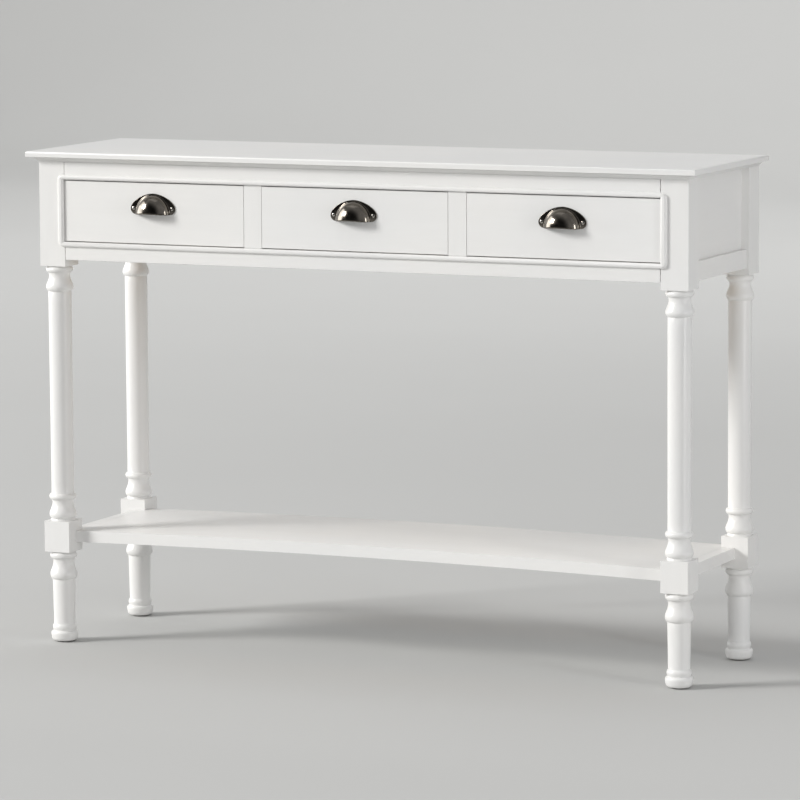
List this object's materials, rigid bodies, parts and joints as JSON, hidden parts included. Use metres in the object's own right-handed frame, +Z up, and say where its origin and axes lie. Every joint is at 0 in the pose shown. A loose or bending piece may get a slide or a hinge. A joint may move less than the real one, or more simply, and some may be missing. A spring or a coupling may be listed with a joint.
{
  "type": "console table",
  "caption": "Slim painted wooden console table with a row of shallow drawers with half-moon cup pulls, turned legs and a lower shelf.",
  "frame": {"origin": "on the floor, at the middle of the table's overall width and depth, pulls included", "axes": "+X to the right seen from the drawer side, +Y from the drawers to the back, +Z up"},
  "size_m": [1.2, 0.346, 0.837],
  "materials": {
    "white_paint": "satin warm-white paint over wood",
    "drawer_wood": "clear-coated pale wood",
    "bare_wood": "unfinished pale wood",
    "dark_metal": "polished dark nickel",
    "steel_screws": "zinc-plated",
    "glide_plastic": "matte"
  },
  "bodies": {
    "table": {"back_panel": "white_paint", "bead_bottom": "white_paint", "bead_left": "white_paint", "bead_right": "white_paint", "bead_top": "white_paint", "drawer_divider_left": "white_paint", "drawer_divider_right": "white_paint", "drawer_stops": "bare_wood", "floor_glides": "glide_plastic", "front_bottom_rail": "white_paint", "front_top_rail": "white_paint", "leg_back_left": "white_paint", "leg_back_right": "white_paint", "leg_front_left": "white_paint", "leg_front_right": "white_paint", "partition_left": "bare_wood", "partition_right": "bare_wood", "runner_left_inner": "bare_wood", "runner_left_outer": "bare_wood", "runner_middle_left": "bare_wood", "runner_middle_right": "bare_wood", "runner_right_inner": "bare_wood", "runner_right_outer": "bare_wood", "shelf": "white_paint", "shelf_dowels": "bare_wood", "side_panel_left": "white_paint", "side_panel_right": "white_paint", "side_rail_left": "white_paint", "side_rail_right": "white_paint", "top_cleats": "bare_wood", "top_panel": "white_paint", "top_screws": "steel_screws"},
    "drawer_left": {"drawer_left_back": "drawer_wood", "drawer_left_bottom": "drawer_wood", "drawer_left_front": "white_paint", "drawer_left_pull": "dark_metal", "drawer_left_pull_screws": "dark_metal", "drawer_left_side_left": "drawer_wood", "drawer_left_side_right": "drawer_wood"},
    "drawer_middle": {"drawer_middle_back": "drawer_wood", "drawer_middle_bottom": "drawer_wood", "drawer_middle_front": "white_paint", "drawer_middle_pull": "dark_metal", "drawer_middle_pull_screws": "dark_metal", "drawer_middle_side_left": "drawer_wood", "drawer_middle_side_right": "drawer_wood"},
    "drawer_right": {"drawer_right_back": "drawer_wood", "drawer_right_bottom": "drawer_wood", "drawer_right_front": "white_paint", "drawer_right_pull": "dark_metal", "drawer_right_pull_screws": "dark_metal", "drawer_right_side_left": "drawer_wood", "drawer_right_side_right": "drawer_wood"}
  },
  "joints": [
    {"name": "drawer_left_slide", "type": "slide", "parent": "table", "child": "drawer_left", "axis": [0, -1, 0], "range_m": [0, 0.21]},
    {"name": "drawer_middle_slide", "type": "slide", "parent": "table", "child": "drawer_middle", "axis": [0, -1, 0], "range_m": [0, 0.21]},
    {"name": "drawer_right_slide", "type": "slide", "parent": "table", "child": "drawer_right", "axis": [0, -1, 0], "range_m": [0, 0.21]}
  ]
}
